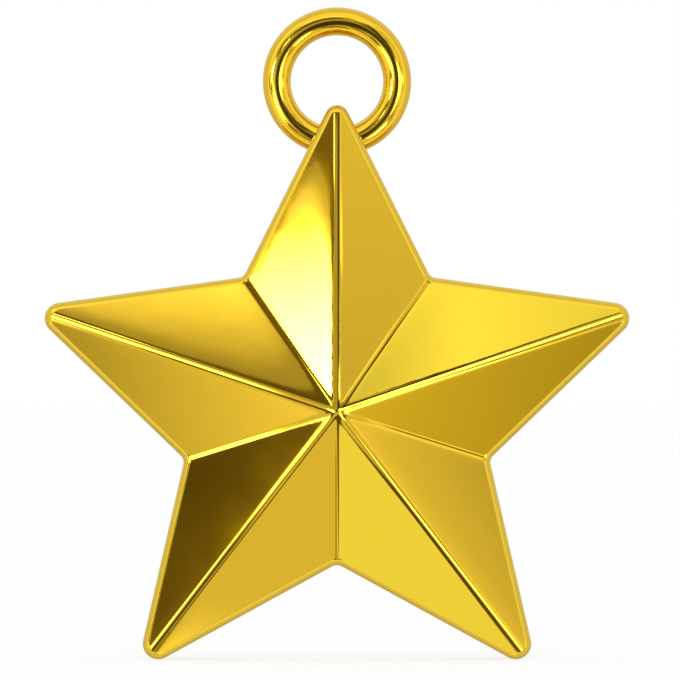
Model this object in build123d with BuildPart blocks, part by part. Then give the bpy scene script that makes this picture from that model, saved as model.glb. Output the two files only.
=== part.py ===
from build123d import *
import os
from math import cos, radians, sin

# A star balloon weight with a ribbon ring in its top point. It stands upright on its two lower points:
# +Z is up, the faceted front faces -Y and the flat back faces +Y. The origin is on the surface that it
# stands on, under the middle of the part. Lengths are in millimetres and angles in degrees.

# Outline of the star, seen from the front. Each sharp corner is given by its reach from the peak's
# axis, and by its angle from the nearest upright or level line. The two halves mirror each other.
top_point_reach = 53.2
side_point_reach = 54.3
lower_point_reach = 54.9
upper_notch_reach = 27.1
side_notch_reach = 26.5
bottom_notch_reach = 25.3
side_point_angle = 18.5
lower_point_angle = 37.5
upper_notch_angle = 34.9
side_notch_angle = 17.5
point_radius = 2.6
top_point_radius = 2.0
notch_radius = 1.6

# Front shell. Depths run from the flat back towards the front.
side_depth = 13.0
peak_rise = 9.5
rim_width = 1.15
rim_ledge = 0.2
ridge_radius = 2.0
ridge_start_gap = 0.5
back_edge_radius = 0.35
wall = 1.8
least_radius = 0.4

# Back cover, let into the back of the shell and held by pins pressed into the shell's bosses
cover_thickness = 2.0
cover_lip = 0.9
cover_gap = 0.12
recess_diameter = 36.0
recess_depth = 0.3
pin_diameter = 2.9
pin_length = 7.0
pin_clearance = 0.05
pin_end_gap = 0.5
boss_diameter = 6.5
boss_gap = 6.5

# Hanging ring, laid into a channel across the top point and held there by a saddle on the cover
ring_inner_diameter = 15.3
ring_wire_diameter = 4.7
point_in_ring = 3.65
ring_depth = 6.2
ring_clearance = 0.1
saddle_wrap = 0.8
saddle_gap = 0.15

# Ballast: three discs on the shell's post, seated on ribs, with a push nut and a foam ring behind them
post_diameter = 8.0
post_end_gap = 0.4
rib_thickness = 1.4
front_disc_thickness = 3.0
disc_gap = 1.2
disc_bore_clearance = 0.15
disc_edge_chamfer = 0.3
foam_thickness = 1.5
foam_margin = 3.2
foam_bore_gap = 2.0
nut_diameter = 16.0
nut_thickness = 0.6
nut_bore_clearance = 0.05
nut_slot_width = 1.2
nut_slot_length = 1.8
nut_slot_count = 6

# How far a cutting body runs past the faces that it cuts, and how many times as far as its corners an
# arm's block is drawn before it is cut back
overcut = 1.0
block_stretch = 2


def spot(reach, angle):
    """Point in the star's plane at a reach from the peak's axis and an angle from +X."""
    return Vector(reach * cos(radians(angle)), reach * sin(radians(angle)))


# Corners anticlockwise from the top point: the points have even places, and the notches odd ones
outline = [
    spot(top_point_reach, 90),
    spot(upper_notch_reach, 90 + upper_notch_angle),
    spot(side_point_reach, 180 - side_point_angle),
    spot(side_notch_reach, 180 + side_notch_angle),
    spot(lower_point_reach, 270 - lower_point_angle),
    spot(bottom_notch_reach, 270),
    spot(lower_point_reach, 270 + lower_point_angle),
    spot(side_notch_reach, 360 - side_notch_angle),
    spot(side_point_reach, 360 + side_point_angle),
    spot(upper_notch_reach, 450 - upper_notch_angle),
]
corner_count = len(outline)
point_places = range(0, corner_count, 2)
top_place = point_places[0]


def next_corner(corners, place):
    """The corner after a place, going round."""
    return corners[(place + 1) % corner_count]


def inset_corners(inset):
    """Sharp outline corners with every edge moved in towards the peak by the inset."""
    moved = []
    for place, corner in enumerate(outline):
        before = (corner - outline[place - 1]).normalized()
        after = (next_corner(outline, place) - corner).normalized()
        inward_before = Vector(-before.Y, before.X)
        inward_after = Vector(-after.Y, after.X)
        stretch = inset / (1 + inward_before.dot(inward_after))
        moved.append(corner + (inward_before + inward_after) * stretch)
    return moved


def nearest_notch(inset):
    """Reach of the innermost notch of the outline moved in by the inset."""
    return min(corner.length for corner in inset_corners(inset)[1::2])


def end_radius(place):
    """Rounding of the point at a place."""
    return top_point_radius if place == top_place else point_radius


def end_reach(place):
    """Reach of the rounded end of the point at a place."""
    return inset_corners(end_radius(place))[place].length + end_radius(place)


# The star's plane is the flat back; its local x is +X, local y is +Z, and its normal points to the front.
# The peak stands as high as brings the two lower rounded ends down to the origin's level.
centre_height = point_radius - min(corner.Y for corner in inset_corners(point_radius))
back_y = (side_depth + peak_rise) / 2
star_plane = Plane(origin=(0, back_y, centre_height), x_dir=(1, 0, 0), z_dir=(0, -1, 0))
rim_plane = star_plane.offset(side_depth)

# Facets run from the peak down to the sharp outline inside the rim
facet_corners = inset_corners(rim_width)
peak = Vector(0, 0, peak_rise)
facet_normals = [
    (corner - peak).cross(next_corner(facet_corners, place) - peak).normalized()
    for place, corner in enumerate(facet_corners)
]
roof_sink = wall / min(normal.Z for normal in facet_normals)

# Levels of the ballast, in front of the back plane
disc_radius = nearest_notch(wall) - disc_gap
facet_notch = nearest_notch(rim_width)
rear_level = cover_thickness + foam_thickness
seat_level = side_depth - roof_sink + peak_rise * (1 - nearest_notch(wall) / facet_notch)
disc_thickness = (seat_level - rear_level) / 2
front_level = seat_level + front_disc_thickness
front_disc_edge = facet_notch * (1 - (front_level - side_depth + roof_sink) / peak_rise)
front_disc_radius = front_disc_edge - disc_gap
disc_bore_radius = post_diameter / 2 + disc_bore_clearance

# Bosses stand on the middle line of each arm, outside the discs
boss_reach = disc_radius + boss_gap + boss_diameter / 2
arm_directions = [facet_corners[place].normalized() for place in point_places]
boss_spots = [direction * boss_reach for direction in arm_directions]

# The ring lies parallel to the star's plane, with the top point's end inside it
ring_radius = (ring_inner_diameter + ring_wire_diameter) / 2
ring_reach = end_reach(top_place) - point_in_ring + ring_inner_diameter / 2
ring_centre = star_plane.from_local_coords(Vector(0, ring_reach, ring_depth))
ring_axis = Axis(ring_centre, star_plane.z_dir)
wire_plane = Plane(origin=ring_centre, x_dir=star_plane.x_dir, z_dir=-star_plane.y_dir)
seat_radius = ring_wire_diameter / 2 + ring_clearance
saddle_half_width = seat_radius - saddle_gap
saddle_height = ring_depth - ring_wire_diameter / 2 + saddle_wrap


def corner_radius(place, inset):
    """Rounding of the corner at a place, on the outline moved in by the inset."""
    if place in point_places:
        return max(end_radius(place) - inset, least_radius)
    return notch_radius + inset


def star_profile(plane, inset):
    """Star outline moved in by the inset, with its points and notches rounded."""
    corners = inset_corners(inset)
    with BuildSketch(plane) as profile:
        with BuildLine():
            Polyline(*corners, close=True)
        make_face()
        for place, corner in enumerate(corners):
            fillet(profile.vertices().sort_by_distance(corner)[0], corner_radius(place, inset))
    return profile.sketch


def world_direction(direction):
    """A direction of the star's plane in world axes."""
    return rim_plane.from_local_coords(direction) - rim_plane.origin


def facet_plane(place, sink):
    """Plane of the facet between a corner and the next one, sunk straight back."""
    top = rim_plane.from_local_coords(peak - Vector(0, 0, sink))
    return Plane(origin=top, z_dir=world_direction(facet_normals[place]))


def cross_plane(place, reach):
    """Plane across the arm of a point, at a reach from the peak's axis, facing outwards."""
    direction = facet_corners[place].normalized()
    return Plane(origin=rim_plane.from_local_coords(direction * reach), z_dir=world_direction(direction))


def arm_block(place, sink, root):
    """One arm between its two valleys, from a root behind the rim up to its two sunk facets."""
    corners = [facet_corners[place - 1], facet_corners[place], next_corner(facet_corners, place)]
    with BuildPart() as block:
        with BuildSketch(rim_plane.offset(-root)):
            with BuildLine():
                Polyline((0, 0), *[corner * block_stretch for corner in corners], close=True)
            make_face()
        extrude(amount=root + peak_rise)
        split(bisect_by=facet_plane(place - 1, sink), keep=Keep.BOTTOM)
        split(bisect_by=facet_plane(place, sink), keep=Keep.BOTTOM)
    return block.part


def arm_roof(place):
    """One arm's two facets on the rim. The ridge between them is rounded from a little below the peak
    to a blunt end inside the rim."""
    block = arm_block(place, 0, ridge_radius)
    start = cross_plane(place, ridge_radius + ridge_start_gap)
    blunt_end = cross_plane(place, min(end_reach(place), facet_corners[place].length) - rim_width)
    ridge_middle = rim_plane.from_local_coords((facet_corners[place] + peak) / 2)
    with BuildPart() as roof:
        add(block)
        split(bisect_by=start, keep=Keep.TOP)
        split(bisect_by=blunt_end, keep=Keep.BOTTOM)
        fillet(roof.edges().sort_by_distance(ridge_middle)[0], ridge_radius)
        add(split(block, bisect_by=start, keep=Keep.BOTTOM, mode=Mode.PRIVATE))
        split(bisect_by=rim_plane, keep=Keep.TOP)
    return roof.part


roofs = [arm_roof(place) for place in point_places]
ceilings = [arm_block(place, roof_sink, side_depth + overcut) for place in point_places]

# Channel for the ring: round at the front, straight and open to the back
with BuildPart() as ring_channel:
    with BuildSketch(wire_plane):
        with Locations((ring_radius, 0)):
            Circle(seat_radius)
            Rectangle(2 * seat_radius, ring_depth + overcut, align=(Align.CENTER, Align.MAX))
    revolve(axis=ring_axis)

# Hollow of the shell, with the ribs, the post and the bosses left standing in it
with BuildPart() as hollow:
    add(ceilings)
    extrude(to_extrude=star_profile(star_plane.offset(-overcut), wall), amount=side_depth + peak_rise,
            mode=Mode.INTERSECT)
    for direction in arm_directions:
        arm_plane = Plane(star_plane.origin, world_direction(direction), star_plane.z_dir)
        with BuildSketch(arm_plane.offset(seat_level)):
            with Locations((front_disc_edge, 0)):
                Rectangle(boss_reach - front_disc_edge, rib_thickness, align=(Align.MIN, Align.CENTER))
        extrude(amount=peak_rise, mode=Mode.SUBTRACT)
        with BuildSketch(arm_plane.offset(front_level)):
            Rectangle(front_disc_edge, rib_thickness, align=(Align.MIN, Align.CENTER))
        extrude(amount=peak_rise, mode=Mode.SUBTRACT)
    with BuildSketch(star_plane.offset(cover_thickness)):
        with Locations(*boss_spots):
            Circle(boss_diameter / 2)
    extrude(amount=side_depth + peak_rise, mode=Mode.SUBTRACT)
    with BuildSketch(star_plane.offset(cover_thickness + post_end_gap)):
        Circle(post_diameter / 2)
    extrude(amount=side_depth + peak_rise, mode=Mode.SUBTRACT)

with BuildPart() as front_shell:
    extrude(to_extrude=star_profile(star_plane, 0), amount=side_depth)
    fillet(front_shell.faces().sort_by(Axis.Y)[0].edges(), rim_width - rim_ledge)
    fillet(front_shell.faces().sort_by(Axis.Y)[-1].edges(), back_edge_radius)
    add(roofs)
    add(hollow.part, mode=Mode.SUBTRACT)
    extrude(to_extrude=star_profile(star_plane, cover_lip), amount=cover_thickness, mode=Mode.SUBTRACT)
    with BuildSketch(star_plane):
        with Locations(*boss_spots):
            Circle(pin_diameter / 2 + pin_clearance)
    extrude(amount=cover_thickness + pin_length + pin_end_gap, mode=Mode.SUBTRACT)
    add(ring_channel.part, mode=Mode.SUBTRACT)

with BuildPart() as hanging_ring:
    with BuildSketch(wire_plane):
        with Locations((ring_radius, 0)):
            Circle(ring_wire_diameter / 2)
    revolve(axis=ring_axis)

# Room that the ring takes in its saddle
with BuildPart() as ring_seat:
    with BuildSketch(wire_plane):
        with Locations((ring_radius, 0)):
            Circle(seat_radius)
    revolve(axis=ring_axis)

# Saddle: a curved wall on the cover that fills the channel behind the ring, flush with the star's sides
with BuildPart() as ring_saddle:
    with BuildSketch(star_plane):
        with Locations((0, ring_reach)):
            Circle(ring_radius + saddle_half_width)
            Circle(ring_radius - saddle_half_width, mode=Mode.SUBTRACT)
    extrude(amount=saddle_height)
    extrude(to_extrude=star_profile(star_plane, cover_gap), amount=saddle_height, mode=Mode.INTERSECT)
    add(ring_seat.part, mode=Mode.SUBTRACT)

with BuildPart() as back_cover:
    extrude(to_extrude=star_profile(star_plane, cover_lip + cover_gap), amount=cover_thickness)
    add(ring_saddle.part)
    with BuildSketch(star_plane.offset(cover_thickness)):
        with Locations(*boss_spots):
            Circle(pin_diameter / 2)
    extrude(amount=pin_length)
    with BuildSketch(star_plane):
        Circle(recess_diameter / 2)
    extrude(amount=recess_depth, mode=Mode.SUBTRACT)


def ballast_disc(level, thickness, radius):
    """Punched disc with broken edges, its back face at a level in front of the back plane."""
    with BuildPart() as disc:
        with BuildSketch(star_plane.offset(level)):
            Circle(radius)
            Circle(disc_bore_radius, mode=Mode.SUBTRACT)
        extrude(amount=thickness)
        chamfer(disc.edges().filter_by(GeomType.CIRCLE), disc_edge_chamfer)
    return disc.part


ballast_disc_front = ballast_disc(seat_level, front_disc_thickness, front_disc_radius)
ballast_disc_middle = ballast_disc(rear_level + disc_thickness, disc_thickness, disc_radius)
ballast_disc_rear = ballast_disc(rear_level, disc_thickness, disc_radius)

with BuildPart() as push_nut:
    with BuildSketch(star_plane.offset(rear_level - nut_thickness)):
        Circle(nut_diameter / 2)
        Circle(post_diameter / 2 + nut_bore_clearance, mode=Mode.SUBTRACT)
        with PolarLocations(post_diameter / 2, nut_slot_count):
            Rectangle(2 * nut_slot_length, nut_slot_width, mode=Mode.SUBTRACT)
    extrude(amount=nut_thickness)

with BuildPart() as foam_pad:
    with BuildSketch(star_plane.offset(cover_thickness)):
        Circle(disc_radius - foam_margin)
        Circle(nut_diameter / 2 + foam_bore_gap, mode=Mode.SUBTRACT)
    extrude(amount=foam_thickness)

pieces = {
    "front_shell": front_shell.part,
    "back_cover": back_cover.part,
    "hanging_ring": hanging_ring.part,
    "ballast_disc_front": ballast_disc_front,
    "ballast_disc_middle": ballast_disc_middle,
    "ballast_disc_rear": ballast_disc_rear,
    "push_nut": push_nut.part,
    "foam_pad": foam_pad.part,
}
os.makedirs("parts", exist_ok=True)
for name, piece in pieces.items():
    piece.label = name
    export_step(piece, f"parts/{name}.step")
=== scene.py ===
"""Looks of a gold star balloon weight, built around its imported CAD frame.

The star's front is one skin of loops: from the peak over the facets, round the rim's bead, down the
sides and round the back edge into the hollow. Plan sizes are in millimetres about the peak's axis, with
u to the right and v up, and levels run from the rim's plane to the front. Blender's own units are metres.
"""

import logging
import math
from dataclasses import dataclass, field
from enum import Enum
from typing import Callable

import bmesh
import bpy
from mathutils import Matrix, Vector


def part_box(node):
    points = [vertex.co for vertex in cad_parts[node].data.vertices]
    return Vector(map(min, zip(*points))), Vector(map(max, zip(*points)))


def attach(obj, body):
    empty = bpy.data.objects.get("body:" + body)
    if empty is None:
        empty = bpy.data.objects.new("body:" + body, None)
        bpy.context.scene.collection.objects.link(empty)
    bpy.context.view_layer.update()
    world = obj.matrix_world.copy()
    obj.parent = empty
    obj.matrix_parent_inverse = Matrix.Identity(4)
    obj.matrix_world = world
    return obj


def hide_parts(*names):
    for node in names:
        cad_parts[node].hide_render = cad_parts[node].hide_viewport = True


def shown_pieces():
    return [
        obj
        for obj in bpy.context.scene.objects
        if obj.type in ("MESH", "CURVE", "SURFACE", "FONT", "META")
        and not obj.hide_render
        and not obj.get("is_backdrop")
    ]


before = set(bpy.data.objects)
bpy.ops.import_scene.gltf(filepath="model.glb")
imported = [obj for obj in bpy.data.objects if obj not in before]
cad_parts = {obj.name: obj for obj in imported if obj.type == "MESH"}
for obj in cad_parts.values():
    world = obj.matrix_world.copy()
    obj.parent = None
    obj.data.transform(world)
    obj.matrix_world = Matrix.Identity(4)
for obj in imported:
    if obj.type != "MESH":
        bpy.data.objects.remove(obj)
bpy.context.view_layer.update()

log = logging.getLogger("star_weight")
MM = 0.001
BODY = "root"
SHARP_ANGLE = math.radians(40)
Colour = tuple[float, float, float]


class Change(Enum):
    """How another solid changes a piece, by the names of Blender's Boolean modifier."""

    CUT = "DIFFERENCE"
    JOIN = "UNION"


def smooth_max(first: float, second: float, blend: float) -> float:
    """Larger of two values, rounded off where they differ by less than the blend.

    Args:
        first: One value.
        second: The other value.
        blend: Difference over which the corner between them is rounded.

    Returns:
        The rounded maximum.
    """
    near = max(blend - abs(first - second), 0.0) / blend
    return max(first, second) + near * near * blend / 4


def steps(count: int) -> list[float]:
    """Even fractions from 0 to 1, both ends included."""
    return [index / count for index in range(count + 1)]


def link_piece(name: str, mesh: bpy.types.Mesh) -> bpy.types.Object:
    """Puts a mesh into the scene as a new object at the origin.

    Args:
        name: Name of the object and of its mesh.
        mesh: Finished mesh, with its place in its vertices.

    Returns:
        The new object.
    """
    mesh.name = name
    piece = bpy.data.objects.new(name, mesh)
    bpy.context.scene.collection.objects.link(piece)
    return piece


def mesh_from(build: bmesh.types.BMesh, name: str) -> bpy.types.Mesh:
    """Turns a bmesh into a smooth-shaded mesh with its sharp edges kept.

    Args:
        build: Closed bmesh, which is freed.
        name: Name of the mesh.

    Returns:
        The mesh.
    """
    bmesh.ops.recalc_face_normals(build, faces=build.faces[:])
    mesh = bpy.data.meshes.new(name)
    build.to_mesh(mesh)
    build.free()
    mesh.shade_smooth()
    mesh.set_sharp_from_angle(angle=SHARP_ANGLE)
    return mesh


def coat(piece: bpy.types.Object, finish: bpy.types.Material) -> None:
    """Puts a finish on a piece or on a CAD node.

    Args:
        piece: The piece.
        finish: Material for the whole piece.
    """
    if not piece.material_slots:
        piece.data.materials.append(finish)
    for place in piece.material_slots:
        place.material = finish


def combine(piece: bpy.types.Object, other: bpy.types.Object, change: Change) -> None:
    """Cuts another closed solid out of a piece, or joins it on, and removes that solid.

    Args:
        piece: Piece to change.
        other: The other solid.
        change: Whether the solid is cut out or joined on.
    """
    tool = piece.modifiers.new("combine", "BOOLEAN")
    tool.operation = change.value
    tool.solver = "EXACT"
    tool.object = other
    bpy.context.view_layer.update()
    shaped = piece.evaluated_get(bpy.context.evaluated_depsgraph_get())
    mesh = bpy.data.meshes.new_from_object(shaped)
    before, spare = piece.data, other.data
    piece.modifiers.clear()
    piece.data = mesh
    bpy.data.objects.remove(other)
    bpy.data.meshes.remove(before)
    bpy.data.meshes.remove(spare)
    mesh.name = piece.name
    mesh.set_sharp_from_angle(angle=SHARP_ANGLE)


@dataclass(frozen=True)
class StarOutline:
    """Outline of the star seen from the front. Corners run anticlockwise from the top point."""

    top_reach: float = 53.2
    side_reach: float = 54.3
    lower_reach: float = 54.9
    upper_notch_reach: float = 27.1
    side_notch_reach: float = 26.5
    bottom_notch_reach: float = 25.3
    side_angle: float = 18.5
    lower_angle: float = 37.5
    upper_notch_angle: float = 34.9
    side_notch_angle: float = 17.5
    point_radius: float = 2.6
    top_radius: float = 2.0
    notch_radius: float = 1.6
    least_radius: float = 0.4
    arc_steps: int = 12
    edge_steps: int = 16

    def sharp_corners(self) -> list[Vector]:
        """Finds the corners before rounding.

        Returns:
            Plan points, with the star's points at even places and its notches at odd ones.
        """
        places = (
            (self.top_reach, 90),
            (self.upper_notch_reach, 90 + self.upper_notch_angle),
            (self.side_reach, 180 - self.side_angle),
            (self.side_notch_reach, 180 + self.side_notch_angle),
            (self.lower_reach, 270 - self.lower_angle),
            (self.bottom_notch_reach, 270),
            (self.lower_reach, 270 + self.lower_angle),
            (self.side_notch_reach, 360 - self.side_notch_angle),
            (self.side_reach, 360 + self.side_angle),
            (self.upper_notch_reach, 450 - self.upper_notch_angle),
        )
        return [
            Vector((reach * math.cos(math.radians(angle)), reach * math.sin(math.radians(angle))))
            for reach, angle in places
        ]

    def inward_normals(self) -> list[Vector]:
        """Finds the normals of the edges that start at each corner.

        Returns:
            Unit vectors towards the inside.
        """
        corners = self.sharp_corners()
        normals = []
        for place, corner in enumerate(corners):
            along = (corners[(place + 1) % len(corners)] - corner).normalized()
            normals.append(Vector((-along.y, along.x)))
        return normals

    def corners(self, inset: float) -> list[Vector]:
        """Finds the sharp corners of the inset outline.

        Args:
            inset: How far every edge is moved inwards.

        Returns:
            Plan points in the order of the corners.
        """
        normals = self.inward_normals()
        moved = []
        for place, corner in enumerate(self.sharp_corners()):
            before, after = normals[place - 1], normals[place]
            moved.append(corner + (before + after) * (inset / (1 + before.dot(after))))
        return moved

    def bend(self, place: int, inset: float) -> float:
        """Finds the rounding of a corner on the inset outline.

        Args:
            place: Place of the corner, anticlockwise from the top point.
            inset: How far the outline is moved inwards.

        Returns:
            Radius of the rounding, positive on a point and negative in a notch.
        """
        if place % 2:
            return -(self.notch_radius + inset)
        radius = self.point_radius if place else self.top_radius
        return max(radius - inset, self.least_radius)

    def arc(self, place: int, inset: float) -> list[Vector]:
        """Points along the rounding of one corner of the inset outline.

        Args:
            place: Place of the corner, anticlockwise from the top point.
            inset: How far the outline is moved inwards.

        Returns:
            The arc's points, its two ends included.
        """
        normals = self.inward_normals()
        before, after = normals[place - 1], normals[place]
        turn = math.atan2(before.x * after.y - before.y * after.x, before.dot(after))
        bend = self.bend(place, inset)
        centre = self.corners(inset + bend)[place]
        return [
            centre - Matrix.Rotation(turn * share, 2) @ before * bend
            for share in steps(self.arc_steps)
        ]

    def loop(self, inset: float) -> list[Vector]:
        """Closed run of points along the inset outline, with as many points at every inset.

        Args:
            inset: How far the outline is moved inwards.

        Returns:
            The points: each corner's arc, then points along the edge that follows, closer near its ends.
        """
        arcs = [self.arc(place, inset) for place in range(len(self.sharp_corners()))]
        points = []
        for place, arc in enumerate(arcs):
            points += arc
            start, end = arc[-1], arcs[(place + 1) % len(arcs)][0]
            for share in steps(self.edge_steps)[1:-1]:
                points.append(start.lerp(end, (1 - math.cos(math.pi * share)) / 2))
        return points

    def centre_height(self) -> float:
        """Height of the peak's axis above the two lower rounded ends."""
        return self.point_radius - min(corner.y for corner in self.corners(self.point_radius))


@dataclass(frozen=True)
class StarRoof:
    """Ten facets from the peak down to the rim, with rounded ridges and valleys."""

    outline: StarOutline = StarOutline()
    foot_inset: float = 1.15
    rise: float = 9.5
    ridge_blend: float = 0.55
    valley_blend: float = 0.24
    wide_ridge_blend: float = 2.4
    wide_valley_blend: float = 1.0
    wide_ridge_share: float = 0.04
    wide_valley_share: float = 0.06

    def falls(self) -> list[Vector]:
        """Finds the fall of each facet per millimetre.

        Returns:
            Plan vectors that point down the facets.
        """
        falls = []
        for corner, normal in zip(self.outline.corners(self.foot_inset), self.outline.inward_normals()):
            falls.append(-normal * (self.rise / -normal.dot(corner)))
        return falls

    def surface(self) -> Callable[[Vector], float]:
        """Level of the roof over the rim's plane, as a function of the plan point.

        Returns:
            A function from a plan point to a level.
        """
        falls = self.falls()
        arms = []
        for place, corner in list(enumerate(self.outline.sharp_corners()))[::2]:
            arms.append((corner.normalized(), falls[place - 1], falls[place]))

        def blended(first: float, second: float, tight: float, wide: float, share: float) -> float:
            """Rounded maximum that bends tightly at the corner and weakly over a wider band beside it."""
            near, far = smooth_max(first, second, tight), smooth_max(first, second, wide)
            return near + (far - near) * share

        def level(spot: Vector) -> float:
            """Finds the level over one plan point, from the two arms nearest to it.

            Args:
                spot: The plan point.

            Returns:
                The level.
            """
            nearest = sorted(arms, key=lambda arm: -arm[0].dot(spot))[:2]
            ridge = (self.ridge_blend, self.wide_ridge_blend, self.wide_ridge_share)
            drops = [blended(left.dot(spot), right.dot(spot), *ridge) for _, left, right in nearest]
            valley = (self.valley_blend, self.wide_valley_blend, self.wide_valley_share)
            return self.rise + blended(-drops[0], -drops[1], *valley)

        return level


class LoopSkin:
    """A skin that grows loop by loop, by extruding the edges of its last loop."""

    def __init__(self, count: int) -> None:
        """Starts from a ring of vertices, to be placed by the first call of grow.

        Args:
            count: Vertices in each loop.
        """
        self.build = bmesh.new()
        self.order = self.build.verts.layers.int.new("order")
        # The "edge" layer holds the painted sheen: how much of the paler gold each loop gets
        self.painted_sheen_mask = self.build.verts.layers.float.new("edge")
        self.verts = bmesh.ops.create_circle(self.build, segments=count, radius=1.0)["verts"]
        for index, vert in enumerate(self.verts):
            vert[self.order] = index
        self.edges = self.build.edges[:]
        self.started = False

    def grow(self, spots: list[Vector], mask: float = 0.0) -> None:
        """Adds one loop.

        Args:
            spots: World points of the loop, in order.
            mask: How much of the paler edge gold this loop gets, a painted sheen.
        """
        if self.started:
            made = bmesh.ops.extrude_edge_only(self.build, edges=self.edges)["geom"]
            self.verts = [item for item in made if isinstance(item, bmesh.types.BMVert)]
            fresh = set(self.verts)
            self.edges = [
                item for item in made
                if isinstance(item, bmesh.types.BMEdge) and fresh.issuperset(item.verts)
            ]
        self.started = True
        for vert in self.verts:
            vert.co = spots[vert[self.order]]
            vert[self.painted_sheen_mask] = mask

    def close(self, pole: Vector) -> None:
        """Closes the last loop with a fan.

        Args:
            pole: World point in the middle of the fan.
        """
        face = bmesh.ops.edgeloop_fill(self.build, edges=self.edges)["faces"]
        centre = bmesh.ops.poke(self.build, faces=face)["verts"][0]
        centre.co = pole


@dataclass
class FrontShell:
    """Gold star shell: facets, rim bead, side walls, back edge and the hollow behind them."""

    # Facets and the roof's underside, with loops closest at the peak and at the rim
    roof: StarRoof = StarRoof()
    roof_sink: float = 1.975
    loop_shares: tuple[float, ...] = (
        0.012, 0.03, 0.05, 0.075, 0.1, 0.14, 0.19, 0.25, 0.32, 0.4, 0.48, 0.56,
        0.64, 0.72, 0.79, 0.85, 0.9, 0.94, 0.97, 0.988, 0.9975, 1.0,
    )
    # Rim's bead, side walls, back edge and the cover's seat
    side_depth: float = 13.0
    wall: float = 1.8
    bead_width: float = 1.01
    bead_level: float = -0.057
    bead_tilt: float = 30.0
    bead_steps: int = 8
    wall_hold: float = 0.25
    back_edge_radius: float = 0.35
    back_edge_steps: int = 4
    # Shares of the paler gold, a painted sheen, on the bead, the walls and the back edge
    bead_sheen_mask: float = 0.7
    wall_sheen_mask: float = 0.3
    back_edge_sheen_mask: float = 0.8
    lip: float = 0.9
    cover_thickness: float = 2.0
    # Room for the ring
    ring_clearance: float = 0.1
    channel_steps: int = 20
    ring_steps: int = 128
    overcut: float = 1.0
    # Post for the ballast, and bosses with bores for the cover's pins
    post_diameter: float = 8.0
    post_end: float = 2.4
    post_steps: int = 40
    post_cover: float = 0.05
    boss_diameter: float = 6.5
    boss_gap: float = 6.5
    bore_diameter: float = 3.0
    bore_depth: float = 7.5
    boss_reach: float = field(init=False)
    rim_y: float = field(init=False)
    centre_z: float = field(init=False)

    def __post_init__(self) -> None:
        """Takes the shell's place and the bosses' reach from the frame."""
        self.rim_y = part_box("front_shell")[1].y - self.side_depth * MM
        self.centre_z = self.outline.centre_height() * MM
        disc_low, disc_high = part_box("ballast_disc_rear")
        self.boss_reach = (disc_high.x - disc_low.x) / 2 / MM + self.boss_gap + self.boss_diameter / 2

    @property
    def outline(self) -> StarOutline:
        """Outline that the roof and the walls share."""
        return self.roof.outline

    def place(self, spot: Vector, level: float) -> Vector:
        """World point of a plan point at a level in front of the rim's plane."""
        return Vector((spot.x * MM, self.rim_y - level * MM, self.centre_z + spot.y * MM))

    def section(self) -> list[tuple[float, float, float]]:
        """Works out the wall's section, from the rim's bead round the back edge to the cover's seat.

        Returns:
            Inset, level and painted-sheen mask of each loop.
        """
        rows = []
        lean = math.radians(self.bead_tilt)
        radius = self.bead_width / (1 - math.sin(lean))
        for share in steps(self.bead_steps):
            tilt = lean + (math.pi / 2 - lean) * share
            drop = radius * (math.cos(lean) - math.cos(tilt))
            rows.append((radius * (1 - math.sin(tilt)), self.bead_level - drop, self.bead_sheen_mask))
        rows.append((0.0, rows[-1][1] - self.wall_hold, self.wall_sheen_mask))
        rows.append((0.0, self.back_edge_radius + self.wall_hold - self.side_depth, self.wall_sheen_mask))
        for share in steps(self.back_edge_steps):
            turn = math.pi / 2 * share
            inset = self.back_edge_radius * (1 - math.cos(turn))
            depth = self.back_edge_radius * (1 - math.sin(turn)) - self.side_depth
            rows.append((inset, depth, self.back_edge_sheen_mask))
        seat_level = self.cover_thickness - self.side_depth
        rows.append((self.lip, -self.side_depth, 0.0))
        rows.append((self.lip, seat_level, 0.0))
        rows.append((self.wall, seat_level, 0.0))
        return rows

    def ring_channel(self) -> bpy.types.Object:
        """Makes the room that the ring takes in the top point: a round channel, open to the back.

        Returns:
            A closed cutter.
        """
        low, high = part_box("hanging_ring")
        centre = (low + high) / 2
        seat = (high.y - low.y) / 2 + self.ring_clearance * MM
        wire_spot = centre + Vector((high.x - centre.x - (high.y - low.y) / 2, 0, 0))
        build = bmesh.new()
        start = bmesh.ops.create_vert(build, co=wire_spot + Vector((seat, 0, 0)))["vert"]
        bmesh.ops.spin(
            build, geom=start, cent=wire_spot, axis=(0, 0, 1), angle=-math.pi, steps=self.channel_steps,
        )
        ends = [vert for vert in build.verts if len(vert.link_edges) == 1]
        made = bmesh.ops.extrude_vert_indiv(build, verts=ends)["verts"]
        for vert in made:
            vert.co.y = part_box("front_shell")[1].y + self.overcut * MM
        bmesh.ops.contextual_create(build, geom=made)
        bmesh.ops.spin(
            build, geom=build.verts[:] + build.edges[:], cent=centre, axis=(0, 1, 0),
            angle=math.tau, steps=self.ring_steps, use_merge=True,
        )
        return link_piece("ring_channel", mesh_from(build, "ring_channel"))

    def round_bars(self, name: str, bars: list[tuple[Vector, float, float, float]]) -> bpy.types.Object:
        """Makes round bars that stand on end, from the back to the front.

        Args:
            name: Name of the object.
            bars: Plan point, diameter, lower level and upper level of each bar.

        Returns:
            The bars as one object of closed solids.
        """
        build = bmesh.new()
        for spot, diameter, low, high in bars:
            stand = (
                Matrix.Translation(self.place(spot, (low + high) / 2))
                @ Matrix.Rotation(math.radians(90), 4, "X")
            )
            bmesh.ops.create_cone(
                build, cap_ends=True, segments=self.post_steps, radius1=diameter / 2 * MM,
                radius2=diameter / 2 * MM, depth=(high - low) * MM, matrix=stand,
            )
        return link_piece(name, mesh_from(build, name))

    def boss_spots(self) -> list[Vector]:
        """Plan points of the five bosses, on the middle line of each arm."""
        return [corner.normalized() * self.boss_reach for corner in self.outline.sharp_corners()[::2]]

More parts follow.
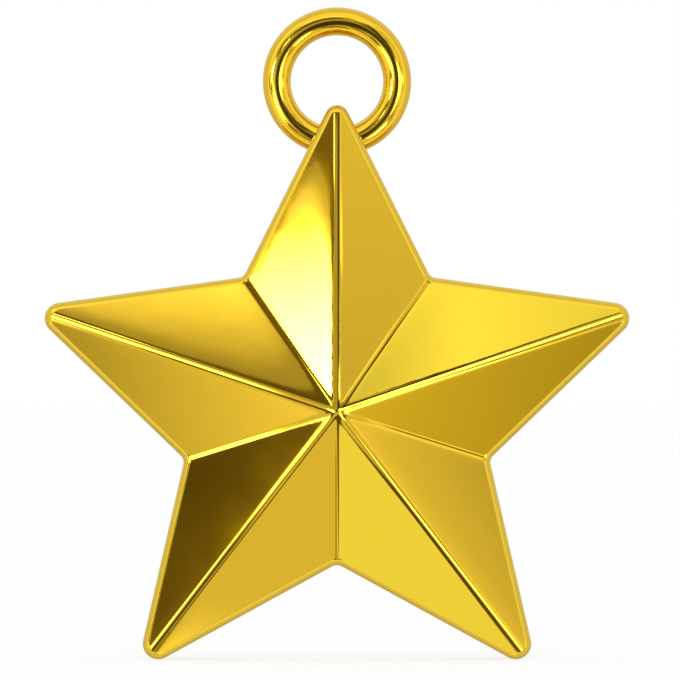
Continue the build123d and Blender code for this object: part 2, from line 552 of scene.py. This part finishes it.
    def posts(self) -> bpy.types.Object:
        """Makes the post for the ballast and the five bosses for the cover's pins, up into the roof.

        Returns:
            The posts as one object of closed solids.
        """
        stands = [(Vector((0.0, 0.0)), self.post_diameter, self.post_end)]
        stands += [(spot, self.boss_diameter, self.cover_thickness) for spot in self.boss_spots()]
        level = self.roof.surface()
        steepest = max(fall.length for fall in self.roof.falls())
        bars = []
        for spot, diameter, end in stands:
            top = level(spot) - steepest * diameter / 2 - self.post_cover
            bars.append((spot, diameter, end - self.side_depth, top))
        return self.round_bars("posts", bars)

    def pin_bores(self) -> bpy.types.Object:
        """Makes the room for the cover's pins in the bosses.

        Returns:
            The bores as one object of closed cutters.
        """
        seat = self.cover_thickness - self.side_depth
        bars = [
            (spot, self.bore_diameter, seat - self.overcut, seat + self.bore_depth)
            for spot in self.boss_spots()
        ]
        return self.round_bars("pin_bores", bars)

    def build(self) -> bpy.types.Object:
        """Builds the shell.

        Returns:
            The new object.
        """
        level = self.roof.surface()
        foot = self.outline.loop(self.roof.foot_inset)
        skin = LoopSkin(len(foot))
        for share in self.loop_shares:
            skin.grow([self.place(spot * share, level(spot * share)) for spot in foot])
        # mask is each loop's share of the painted sheen
        for inset, depth, mask in self.section():
            skin.grow([self.place(spot, depth) for spot in self.outline.loop(inset)], mask)
        inside = self.outline.loop(self.wall)
        for share in reversed(self.loop_shares):
            skin.grow([self.place(spot * share, level(spot * share) - self.roof_sink) for spot in inside])
        centre = Vector((0.0, 0.0))
        skin.close(self.place(centre, level(centre) - self.roof_sink))
        skin.edges = [edge for edge in skin.build.edges if edge.is_boundary]
        skin.close(self.place(centre, level(centre)))
        piece = link_piece("front_shell_gold", mesh_from(skin.build, "front_shell_gold"))
        combine(piece, self.ring_channel(), Change.CUT)
        combine(piece, self.posts(), Change.JOIN)
        combine(piece, self.pin_bores(), Change.CUT)
        return piece

    def dress(self, piece: bpy.types.Object, finish: bpy.types.Material) -> None:
        """Puts the gold on and sets the shell in the frame in place of its CAD node.

        Args:
            piece: The shell.
            finish: The gold.
        """
        coat(piece, finish)
        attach(piece, BODY)
        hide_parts("front_shell")


@dataclass
class HangingRing:
    """Closed round ring of plain wire that lies in the channel across the top point."""

    ring_steps: int = 160
    wire_steps: int = 40

    def build(self) -> bpy.types.Object:
        """Spins the wire's circle round the ring's axis.

        Returns:
            The new object.
        """
        low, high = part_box("hanging_ring")
        centre = (low + high) / 2
        wire_radius = (high.y - low.y) / 2
        ring_radius = (high.x - low.x) / 2 - wire_radius
        build = bmesh.new()
        stand = Matrix.Translation(centre + Vector((ring_radius, 0, 0)))
        made = bmesh.ops.create_circle(build, segments=self.wire_steps, radius=wire_radius, matrix=stand)
        bmesh.ops.spin(
            build, geom=made["verts"] + build.edges[:], cent=centre, axis=(0, 1, 0),
            angle=math.tau, steps=self.ring_steps, use_merge=True,
        )
        return link_piece("hanging_ring_gold", mesh_from(build, "hanging_ring_gold"))

    def dress(self, piece: bpy.types.Object, finish: bpy.types.Material) -> None:
        """Puts the gold on and sets the ring in the frame in place of its CAD node.

        Args:
            piece: The ring.
            finish: The gold.
        """
        coat(piece, finish)
        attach(piece, BODY)
        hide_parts("hanging_ring")


@dataclass
class FoamRing:
    """Soft foam ring that fills the space between the rear ballast disc and the cover."""

    bore_radius: float = 10.0
    ring_steps: int = 96
    profile_steps: int = 40
    squareness: float = 5.0
    fill: float = 0.9

    def build(self) -> bpy.types.Object:
        """Spins a crowned, round-cornered profile about the post's axis.

        Returns:
            The new object.
        """
        low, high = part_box("foam_pad")
        centre = (low + high) / 2
        outer = (high.x - low.x) / 2
        half_width = (outer - self.bore_radius * MM) / 2
        half_height = (high.y - low.y) / 2
        build = bmesh.new()
        made = bmesh.ops.create_circle(build, segments=self.profile_steps, radius=1.0)["verts"]
        for vert in made:
            across, along = (math.copysign(abs(part) ** (2 / self.squareness), part) for part in vert.co.xy)
            vert.co = centre + Vector((outer - half_width + across * half_width, along * half_height, 0))
        bmesh.ops.spin(
            build, geom=build.verts[:] + build.edges[:], cent=centre, axis=(0, 1, 0),
            angle=math.tau, steps=self.ring_steps, use_merge=True,
        )
        return link_piece("foam_ring", mesh_from(build, "foam_ring"))

    def dress(self, piece: bpy.types.Object, finish: bpy.types.Material) -> None:
        """Puts the foam's finish on and sets the ring in the frame in place of its CAD node.

        Args:
            piece: The foam ring.
            finish: The foam.
        """
        coat(piece, finish)
        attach(piece, BODY)
        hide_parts("foam_pad")


@dataclass(frozen=True)
class BackCover:
    """Flat gold plate that closes the shell, with its CAD mesh as it is."""

    node: str = "back_cover"

    def dress(self, finish: bpy.types.Material) -> None:
        """Puts the gold on the CAD node."""
        coat(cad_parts[self.node], finish)


@dataclass(frozen=True)
class Ballast:
    """Punched steel discs and the push nut that holds them, with their CAD meshes as they are."""

    discs: tuple[str, ...] = ("ballast_disc_front", "ballast_disc_middle", "ballast_disc_rear")
    nut: str = "push_nut"

    def dress(self, steel: bpy.types.Material, spring_steel: bpy.types.Material) -> None:
        """Puts the two steels on the CAD nodes.

        Args:
            steel: Finish of the discs.
            spring_steel: Finish of the nut.
        """
        for disc in self.discs:
            coat(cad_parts[disc], steel)
        coat(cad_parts[self.nut], spring_steel)


def node_group(name: str, inputs: dict[str, float], outputs: tuple[str, ...]) -> bpy.types.NodeTree:
    """Starts a shader node group.

    Args:
        name: Name of the group.
        inputs: Names of its value inputs, with their defaults.
        outputs: Names of its value outputs.

    Returns:
        The group, with its input and output nodes in place.
    """
    group = bpy.data.node_groups.new(name, "ShaderNodeTree")
    for label, value in inputs.items():
        socket = group.interface.new_socket(label, in_out="INPUT", socket_type="NodeSocketFloat")
        socket.default_value = value
    for label in outputs:
        group.interface.new_socket(label, in_out="OUTPUT", socket_type="NodeSocketFloat")
    group.nodes.new("NodeGroupInput").name = "Given"
    group.nodes.new("NodeGroupOutput").name = "Made"
    return group


def soft_noise(
    group: bpy.types.NodeTree, scale: bpy.types.NodeSocket, detail: float,
) -> bpy.types.NodeSocket:
    """Adds a noise on Object coordinates to a group.

    Args:
        group: Group to add to.
        scale: Socket that gives the noise its scale.
        detail: Octaves of the noise.

    Returns:
        The noise's value.
    """
    spots = group.nodes.new("ShaderNodeTexCoord")
    noise = group.nodes.new("ShaderNodeTexNoise")
    noise.inputs["Detail"].default_value = detail
    group.links.new(spots.outputs["Object"], noise.inputs["Vector"])
    group.links.new(scale, noise.inputs["Scale"])
    return noise.outputs["Fac"]


def ripple_group() -> bpy.types.NodeTree:
    """Builds the soft ripple of a coated or rolled surface.

    Returns:
        The group, which puts out a height.
    """
    group = node_group("surface_ripple", {"Scale": 200.0}, ("Height",))
    given, made = group.nodes["Given"], group.nodes["Made"]
    group.links.new(soft_noise(group, given.outputs["Scale"], detail=1.0), made.inputs["Height"])
    return group


def marks_group(faint: float = 0.48, full: float = 0.75) -> bpy.types.NodeTree:
    """Builds handling marks in soft patches.

    Args:
        faint: Noise value at which a mark begins to show.
        full: Noise value at which it is full.

    Returns:
        The group, which puts out the marks as a mask and as a roughness between two values.
    """
    inputs = {"Scale": 60.0, "Clean": 0.05, "Marked": 0.1}
    group = node_group("handling_marks", inputs, ("Roughness", "Mask"))
    given, made = group.nodes["Given"], group.nodes["Made"]
    noise = soft_noise(group, given.outputs["Scale"], detail=3.0)
    mask = group.nodes.new("ShaderNodeMapRange")
    mask.inputs["From Min"].default_value = faint
    mask.inputs["From Max"].default_value = full
    group.links.new(noise, mask.inputs["Value"])
    rough = group.nodes.new("ShaderNodeMapRange")
    group.links.new(mask.outputs["Result"], rough.inputs["Value"])
    group.links.new(given.outputs["Clean"], rough.inputs["To Min"])
    group.links.new(given.outputs["Marked"], rough.inputs["To Max"])
    group.links.new(rough.outputs["Result"], made.inputs["Roughness"])
    group.links.new(mask.outputs["Result"], made.inputs["Mask"])
    return group


def panel_fade_group() -> bpy.types.NodeTree:
    """Builds the soft border of a studio panel.

    Returns:
        The group, which puts out a mask that fades to 0 at the panel's sides, and the height on the panel.
    """
    group = node_group("panel_fade", {"Across": 0.4, "Along": 0.4}, ("Mask", "Up"))
    given, made = group.nodes["Given"], group.nodes["Made"]
    uv = group.nodes.new("ShaderNodeUVMap")
    split = group.nodes.new("ShaderNodeSeparateXYZ")
    group.links.new(uv.outputs["UV"], split.inputs["Vector"])
    both = group.nodes.new("ShaderNodeMath")
    both.operation = "MULTIPLY"
    for place, (axis, label) in enumerate((("X", "Across"), ("Y", "Along"))):
        centred = group.nodes.new("ShaderNodeMath")
        centred.operation = "SUBTRACT"
        centred.inputs[1].default_value = 0.5
        group.links.new(split.outputs[axis], centred.inputs[0])
        away = group.nodes.new("ShaderNodeMath")
        away.operation = "ABSOLUTE"
        group.links.new(centred.outputs[0], away.inputs[0])
        fade = group.nodes.new("ShaderNodeMapRange")
        fade.interpolation_type = "SMOOTHSTEP"
        fade.inputs["From Min"].default_value = 0.5
        group.links.new(given.outputs[label], fade.inputs["From Max"])
        group.links.new(away.outputs[0], fade.inputs["Value"])
        group.links.new(fade.outputs["Result"], both.inputs[place])
    group.links.new(both.outputs[0], made.inputs["Mask"])
    group.links.new(split.outputs["Y"], made.inputs["Up"])
    return group


class FinishNodes:
    """A new material's nodes, with the effects that the materials share."""

    groups: dict[str, bpy.types.NodeTree] = {}

    def __init__(self, name: str) -> None:
        """Makes the material and finds its shader.

        Args:
            name: Name of the material.
        """
        self.material = bpy.data.materials.new(name)
        self.material.use_nodes = True
        self.nodes = self.material.node_tree.nodes
        self.links = self.material.node_tree.links
        self.shader = self.nodes["Principled BSDF"]

    def place(self, maker: Callable[[], bpy.types.NodeTree], **values: float) -> bpy.types.Node:
        """Places a shared group in the material.

        Args:
            maker: Function that builds the group, called once for all materials.
            values: The group's inputs in this material.

        Returns:
            The group's node.
        """
        if maker.__name__ not in self.groups:
            self.groups[maker.__name__] = maker()
        node = self.nodes.new("ShaderNodeGroup")
        node.node_tree = self.groups[maker.__name__]
        for label, value in values.items():
            node.inputs[label].default_value = value
        return node

    def mix(self, factor: bpy.types.NodeSocket, first: Colour, second: Colour) -> bpy.types.Node:
        """Mixes two colours by a mask.

        Args:
            factor: The mask.
            first: Colour where the mask is 0.
            second: Colour where the mask is 1.

        Returns:
            The Mix node.
        """
        node = self.nodes.new("ShaderNodeMix")
        node.data_type = "RGBA"
        node.inputs["A"].default_value = (*first, 1.0)
        node.inputs["B"].default_value = (*second, 1.0)
        self.links.new(factor, node.inputs["Factor"])
        return node

    def bump(self, height: bpy.types.NodeSocket, distance: float) -> None:
        """Feeds a height into the shader's normal.

        Args:
            height: The height, from 0 to 1.
            distance: What a height of 1 stands for, in metres.
        """
        node = self.nodes.new("ShaderNodeBump")
        node.inputs["Distance"].default_value = distance
        self.links.new(height, node.inputs["Height"])
        self.links.new(node.outputs["Normal"], self.shader.inputs["Normal"])

    def blend_shaders(
        self, factor: bpy.types.NodeSocket, first: bpy.types.Node, second: bpy.types.Node,
    ) -> None:
        """Takes a blend of two other shaders as the surface.

        Args:
            factor: Share of the second shader.
            first: One shader.
            second: The other shader.
        """
        self.nodes.remove(self.shader)
        self.shader = self.nodes.new("ShaderNodeMixShader")
        self.links.new(factor, self.shader.inputs["Fac"])
        self.links.new(first.outputs[0], self.shader.inputs[1])
        self.links.new(second.outputs[0], self.shader.inputs[2])
        self.links.new(self.shader.outputs[0], self.nodes["Material Output"].inputs["Surface"])


@dataclass(frozen=True)
class GoldFinish:
    """Mirror-bright gold metal coat on moulded plastic, under a thin clear lacquer."""

    name: str = "gold_metallised"
    face_colour: Colour = (0.69, 0.43, 0.001)
    # Paler, bluer gold along the edge attribute: a painted sheen on the rim's bead, walls and back edge
    painted_sheen_colour: Colour = (0.66, 0.455, 0.014)
    grazing_tint: Colour = (1.0, 0.86, 0.6)
    roughness: float = 0.05
    marked_roughness: float = 0.1
    marks_scale: float = 60.0
    ripple_scale: float = 220.0
    ripple_height: float = 5.0e-6
    lacquer: float = 0.65
    lacquer_roughness: float = 0.03

    def material(self) -> bpy.types.Material:
        """Makes the material, a little paler along the piece's edge attribute: a painted sheen on the rim's
        bead, walls and back edge.

        Returns:
            The new material.
        """
        made = FinishNodes(self.name)
        made.shader.inputs["Metallic"].default_value = 1.0
        made.shader.inputs["Specular Tint"].default_value = (*self.grazing_tint, 1.0)
        made.shader.inputs["Coat Weight"].default_value = self.lacquer
        made.shader.inputs["Coat Roughness"].default_value = self.lacquer_roughness
        # Painted sheen: the edge attribute blends in the paler, bluer gold on the bead, walls and back edge
        edge = made.nodes.new("ShaderNodeAttribute")
        edge.attribute_name = "edge"
        tone = made.mix(edge.outputs["Fac"], self.face_colour, self.painted_sheen_colour)
        made.links.new(tone.outputs["Result"], made.shader.inputs["Base Color"])
        marks = made.place(
            marks_group, Scale=self.marks_scale, Clean=self.roughness, Marked=self.marked_roughness,
        )
        made.links.new(marks.outputs["Roughness"], made.shader.inputs["Roughness"])
        ripple = made.place(ripple_group, Scale=self.ripple_scale)
        made.bump(ripple.outputs["Height"], self.ripple_height)
        return made.material


@dataclass(frozen=True)
class SteelFinish:
    """Punched steel with a thin uneven film of oil."""

    name: str = "ballast_steel"
    bare_colour: Colour = (0.17, 0.17, 0.175)
    oiled_colour: Colour = (0.1, 0.09, 0.075)
    roughness: float = 0.36
    oiled_share: float = 0.6
    marks_scale: float = 90.0
    grain_scale: float = 900.0
    grain_height: float = 2.0e-5

    def material(self) -> bpy.types.Material:
        """Makes the material.

        Returns:
            The new material.
        """
        made = FinishNodes(self.name)
        made.shader.inputs["Metallic"].default_value = 1.0
        oiled_roughness = self.roughness * self.oiled_share
        marks = made.place(marks_group, Scale=self.marks_scale, Clean=self.roughness, Marked=oiled_roughness)
        tone = made.mix(marks.outputs["Mask"], self.bare_colour, self.oiled_colour)
        made.links.new(tone.outputs["Result"], made.shader.inputs["Base Color"])
        made.links.new(marks.outputs["Roughness"], made.shader.inputs["Roughness"])
        grain = made.place(ripple_group, Scale=self.grain_scale)
        made.bump(grain.outputs["Height"], self.grain_height)
        return made.material


@dataclass(frozen=True)
class FoamFinish:
    """Grey closed-cell foam with small round cells."""

    name: str = "grey_foam"
    wall_colour: Colour = (0.06, 0.06, 0.07)
    cell_colour: Colour = (0.028, 0.028, 0.033)
    roughness: float = 0.9
    cell_scale: float = 1300.0
    cell_depth: float = 2.0e-4

    def material(self) -> bpy.types.Material:
        """Makes the material.

        Returns:
            The new material.
        """
        made = FinishNodes(self.name)
        made.shader.inputs["Roughness"].default_value = self.roughness
        spots = made.nodes.new("ShaderNodeTexCoord")
        cells = made.nodes.new("ShaderNodeTexVoronoi")
        cells.inputs["Scale"].default_value = self.cell_scale
        made.links.new(spots.outputs["Object"], cells.inputs["Vector"])
        tone = made.mix(cells.outputs["Distance"], self.cell_colour, self.wall_colour)
        made.links.new(tone.outputs["Result"], made.shader.inputs["Base Color"])
        made.bump(cells.outputs["Distance"], self.cell_depth)
        return made.material


SHELL_GOLD = GoldFinish()
RING_GOLD = GoldFinish(name="gold_ring", roughness=0.1, marked_roughness=0.13, lacquer_roughness=0.1)
BALLAST_STEEL = SteelFinish()
SPRING_STEEL = SteelFinish(
    name="spring_steel", bare_colour=(0.085, 0.08, 0.082), oiled_colour=(0.05, 0.045, 0.04), roughness=0.28,
)
GREY_FOAM = FoamFinish()


class Cloth(Enum):
    """What a studio panel is covered with, as the colour of its light."""

    WHITE = (1.0, 1.0, 1.0)
    COLD = (0.87, 1.0, 1.0)
    YELLOW = (1.04, 1.0, 0.55)
    BROWN = (1.0, 0.82, 0.45)


# Millimetres that each place in the list of panels adds to a panel's depth
RANK_GAP = 0.01


class PanelWall(Enum):
    """Where a panel hangs, as the distance behind the object's middle in millimetres."""

    FRONT = -215.0
    BACK = 300.0


@dataclass(frozen=True)
class Panel:
    """A panel across the view, which shows only in reflections.

    Attributes:
        name: Name of the panel.
        u: Place of its middle to the right of the peak's axis.
        v: Place of its middle above the peak's axis.
        width: Its width before it is turned.
        height: Its height before it is turned.
        level: Its light at the lower end, where 1 is the white of the surroundings.
        top_level: Its light at the upper end, if that differs.
        turn: Its turn about the view, in degrees, anticlockwise as the camera sees it.
        soft: Width of its soft border.
        layer: Millimetres behind its wall's plane; at the front, higher layers cover lower ones.
        wall: Wall on which it hangs.
        cloth: What it is covered with.
    """

    name: str
    u: float
    v: float
    width: float
    height: float
    level: float
    top_level: float | None = None
    turn: float = 0.0
    soft: float = 5.0
    layer: int = 0
    wall: PanelWall = PanelWall.FRONT
    cloth: Cloth = Cloth.WHITE

    def material(self) -> bpy.types.Material:
        """Makes a light that fades to clear towards the panel's sides.

        Returns:
            The new material.
        """
        made = FinishNodes(self.name)
        across, along = (0.5 - self.soft / size for size in (self.width, self.height))
        fade = made.place(panel_fade_group, Across=across, Along=along)
        grade = made.nodes.new("ShaderNodeMapRange")
        grade.inputs["To Min"].default_value = self.level
        grade.inputs["To Max"].default_value = self.level if self.top_level is None else self.top_level
        made.links.new(fade.outputs["Up"], grade.inputs["Value"])
        glow = made.nodes.new("ShaderNodeEmission")
        glow.inputs["Color"].default_value = (*self.cloth.value, 1.0)
        made.links.new(grade.outputs["Result"], glow.inputs["Strength"])
        clear = made.nodes.new("ShaderNodeBsdfTransparent")
        made.blend_shaders(fade.outputs["Mask"], clear, glow)
        return made.material

    def build(self, centre_z: float, rank: int) -> None:
        """Hangs the panel in its plane.

        Args:
            centre_z: Height of the peak's axis.
            rank: Place in the list, which keeps panels of one layer a little apart.
        """
        build = bmesh.new()
        bmesh.ops.create_grid(build, x_segments=1, y_segments=1, size=0.5)
        uv = build.loops.layers.uv.verify()
        for face in build.faces:
            for loop in face.loops:
                loop[uv].uv = (loop.vert.co.x + 0.5, loop.vert.co.y + 0.5)
        depth = self.wall.value + self.layer + rank * RANK_GAP
        stand = (
            Matrix.Translation((self.u * MM, depth * MM, centre_z + self.v * MM))
            @ Matrix.Rotation(math.radians(-self.turn), 4, "Y")
            @ Matrix.Rotation(math.radians(90), 4, "X")
            @ Matrix.Diagonal((self.width * MM, self.height * MM, 1.0, 1.0))
        )
        bmesh.ops.transform(build, matrix=stand, verts=build.verts[:])
        mesh = bpy.data.meshes.new(self.name)
        build.to_mesh(mesh)
        build.free()
        panel = link_piece(self.name, mesh)
        panel.data.materials.append(self.material())
        for ray in ("camera", "diffuse", "transmission", "volume_scatter", "shadow"):
            setattr(panel, f"visible_{ray}", False)
        panel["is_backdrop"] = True


# What each facet, ridge, valley and the ring reflects; within a layer, a later panel covers an earlier one
PANELS: tuple[Panel, ...] = (
    Panel("top_softbox", 0, 262, 280, 76, 1.9, soft=6),
    Panel("right_upper_softbox", 38, 214, 76, 36, 0.68, 1.85, turn=-90, soft=1, layer=2, cloth=Cloth.COLD),
    Panel("left_upper_softbox", -58, 224, 130, 20, 0.6, 2.1, turn=-14, soft=0.5, layer=2),
    Panel("left_upper_flag", -64, 174, 150, 66, 0.17, turn=-14, soft=1, layer=1, cloth=Cloth.BROWN),
    Panel("right_upper_flag", 72, 171, 54, 48, 0.15, turn=27, soft=4, layer=2, cloth=Cloth.BROWN),
    Panel("camera_flag", 0, 38, 170, 285, 0.07, soft=55, layer=1, cloth=Cloth.BROWN),
    Panel("left_softbox", -200, 107, 72, 48, 44.0, 2.6, soft=2, layer=2),
    Panel("left_tip_flag", -169.5, 166, 110, 70, 0.25, turn=-42, soft=1, layer=3, cloth=Cloth.BROWN),
    Panel("left_inner_flag", -150, 112, 30, 90, 0.2, soft=4, layer=1, cloth=Cloth.BROWN),
    Panel("left_lower_softbox", -185, -160, 44, 70, 0.48, 1.38, turn=-90, soft=2, layer=1),
    Panel("left_flag", -245, 28, 92, 42, 0.24, 0.08, turn=42, soft=1, layer=2, cloth=Cloth.BROWN),
    Panel("bottom_left_softbox", -100, -240, 80, 100, 1.42, soft=8, layer=2, cloth=Cloth.COLD),
    Panel("bottom_right_softbox", 72, -278, 60, 60, 2.0, soft=25, layer=1),
    Panel("right_softbox", 243, 25, 80, 80, 0.45, 1.5, turn=125, soft=3, layer=1),
    Panel("right_lower_flag", 185, -160, 44, 80, 0.48, 0.95, turn=90, soft=2, layer=1, cloth=Cloth.YELLOW),
    Panel("right_tip_softbox", 197, 120, 60, 70, 0.83, 1.06, soft=2, layer=1),
    Panel("left_valley_flag", -112, 152, 140, 44, 0.2, turn=34, soft=4, layer=1, cloth=Cloth.BROWN),
    Panel("right_valley_flag", 120, 160, 24, 60, 0.5, turn=-34, soft=4, layer=1),
    Panel("left_strip", -129, 12, 74, 88, 8.0, turn=-19, soft=8),
    Panel("left_ridge_flag", -122, -64, 62, 80, 0.15, turn=-19, soft=6, layer=1, cloth=Cloth.BROWN),
    Panel("right_strip", 106, 60, 80, 92, 8.0, turn=19, soft=8),
    Panel("right_lower_strip", 114, -74, 84, 64, 8.0, turn=-42, soft=8, layer=2),
    Panel("right_ridge_flag", 146, -25, 64, 40, 0.3, turn=19, soft=6, layer=1, cloth=Cloth.BROWN),
    Panel("top_ridge_strip", -100, 136, 36, 18, 8.0, soft=4, layer=3),
    Panel("top_right_strip", 143, 123, 62, 18, 1.9, soft=4, layer=3),
    Panel("left_valley_softbox", -211, -63, 46, 78, 8.0, turn=16, soft=2),
    Panel("right_low_valley_flag", 198, -76, 44, 50, 0.3, turn=-18, soft=6, layer=1),
    Panel("lower_flag", -10, -164, 170, 66, 0.14, turn=38, soft=8, layer=1, cloth=Cloth.BROWN),
    Panel("left_ring_softbox", -232, 69, 136, 42, 4.0, soft=18),
    Panel("right_ring_softbox", 240, 71, 180, 42, 4.0, soft=18),
    Panel("outer_left_softbox", -620, 620, 600, 600, 1.9, soft=80),
    Panel("right_far_softbox", 82, 218, 76, 60, 1.8, 1.02, turn=-90, soft=1, layer=1, cloth=Cloth.COLD),
    Panel("left_upper_card", -62, 209, 130, 12, 0.55, turn=-14, soft=1, layer=2),
    Panel("top_ridge_card", -44, 108, 140, 62, 0.6, soft=4, layer=2),
    Panel("top_right_card", 92, 116, 44, 60, 0.5, soft=4, layer=2),
    Panel("left_tip_softbox", -195, 137.5, 70, 7, 2.0, 0.35, turn=-42, soft=0.5, layer=3),
    Panel("side_right_softbox", 700, 0, 800, 1500, 1.4, soft=60, layer=-10),
    Panel("side_left_softbox", -700, 0, 800, 1500, 1.4, soft=60, layer=-10),
    Panel("low_softbox", 0, -700, 700, 800, 1.4, soft=60, layer=-10),
    Panel("high_softbox", 0, 700, 700, 800, 1.45, soft=60, layer=-10),
    Panel("left_dim_flag", -430, 60, 220, 140, 0.45, soft=40, layer=-8, cloth=Cloth.BROWN),
    Panel("right_dim_flag", 430, 60, 180, 90, 1.0, soft=30, layer=-8),
    Panel("top_ridge_flag", 56, 112, 58, 76, 0.06, soft=14, layer=3, cloth=Cloth.BROWN),
    Panel("right_valley_softbox", 118, 160, 160, 60, 1.45, turn=-34, soft=4),
    Panel("lower_left_strip", -206, -2, 66, 44, 8.0, turn=42, soft=10, layer=1),
    Panel("lower_left_flag", -78, -104, 70, 60, 0.14, turn=-38, soft=12, layer=1, cloth=Cloth.BROWN),
    Panel("right_low_valley_softbox", 198, -62, 40, 150, 1.45, turn=-18, soft=4),
    Panel("bottom_valley_flag", 30, -236, 40, 74, 0.35, soft=10, layer=1, cloth=Cloth.BROWN),
    Panel("left_yellow_softbox", -212, 142, 60, 34, 2.2, soft=2, layer=1),
    Panel("left_edge_flag", -206.8, 141.9, 60, 20, 0.2, turn=63.5, soft=0.5, layer=4, cloth=Cloth.BROWN),
    Panel("top_right_low_card", 143, 98, 62, 34, 0.9, soft=3, layer=2),
    Panel("top_right_tip_card", 143, 142, 62, 24, 1.2, soft=3, layer=2),
    Panel("back_flag", 0, 0, 1600, 1600, 0.55, 1.2, soft=100, wall=PanelWall.BACK),
)


@dataclass
class Studio:
    """Pale floor, soft white surroundings, panels and the camera."""

    camera_distance: float = 1.5
    frame_width: float = 0.1126
    aim_x: float = 0.0005
    aim_z: float = 0.0529
    floor_size: float = 12.0
    floor_white: float = 0.98
    floor_glow: float = 0.8
    panels: tuple[Panel, ...] = PANELS

    def add_camera(self) -> None:
        """Stands the camera straight in front, with a long lens."""
        data = bpy.data.cameras.new("camera")
        data.lens = data.sensor_width * self.camera_distance / self.frame_width
        camera = bpy.data.objects.new("camera", data)
        camera.location = (self.aim_x, -self.camera_distance, self.aim_z)
        camera.rotation_euler = (math.radians(90), 0, 0)
        bpy.context.scene.collection.objects.link(camera)
        bpy.context.scene.camera = camera

    def add_floor(self) -> None:
        """Lays the pale floor that the star stands on.

        Reflections don't see it, because some panels hang below its level. They see the white around it.
        """
        build = bmesh.new()
        bmesh.ops.create_grid(build, x_segments=1, y_segments=1, size=self.floor_size / 2)
        mesh = bpy.data.meshes.new("floor")
        build.to_mesh(mesh)
        build.free()
        floor = link_piece("floor", mesh)
        made = FinishNodes("pale_floor")
        matt = made.nodes.new("ShaderNodeBsdfDiffuse")
        matt.inputs["Color"].default_value = (self.floor_white, self.floor_white, self.floor_white, 1.0)
        white = made.nodes.new("ShaderNodeEmission")
        rays = made.nodes.new("ShaderNodeLightPath")
        share = made.nodes.new("ShaderNodeMath")
        share.operation = "MULTIPLY"
        share.inputs[1].default_value = self.floor_glow
        made.links.new(rays.outputs["Is Camera Ray"], share.inputs[0])
        made.blend_shaders(share.outputs[0], matt, white)
        floor.data.materials.append(made.material)
        floor.visible_glossy = False
        floor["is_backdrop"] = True

    def add_world(self) -> None:
        """Surrounds the scene with plain white light."""
        world = bpy.data.worlds.new("white_surroundings")
        bpy.context.scene.world = world
        world.use_nodes = True
        back = world.node_tree.nodes["Background"]
        back.inputs["Color"].default_value = (*Cloth.WHITE.value, 1.0)
        back.inputs["Strength"].default_value = 1.0

    def build(self, centre_z: float) -> None:
        """Sets up everything around the object.

        Args:
            centre_z: Height of the peak's axis.
        """
        bpy.context.scene.view_settings.view_transform = "Standard"
        self.add_camera()
        self.add_floor()
        self.add_world()
        for rank, panel in enumerate(self.panels):
            panel.build(centre_z, rank)


def main() -> None:
    """Builds and dresses the pieces in order, then the studio around them."""
    logging.basicConfig(level=logging.INFO, format="%(name)s: %(message)s")
    gold = SHELL_GOLD.material()
    shell = FrontShell()
    shell.dress(shell.build(), gold)
    ring = HangingRing()
    ring.dress(ring.build(), RING_GOLD.material())
    foam = FoamRing()
    foam.dress(foam.build(), GREY_FOAM.material())
    BackCover().dress(gold)
    Ballast().dress(BALLAST_STEEL.material(), SPRING_STEEL.material())
    Studio().build(shell.centre_z)
    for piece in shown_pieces():
        log.info("%s: %d faces", piece.name, len(piece.data.polygons))


if __name__ == "__main__":
    main()
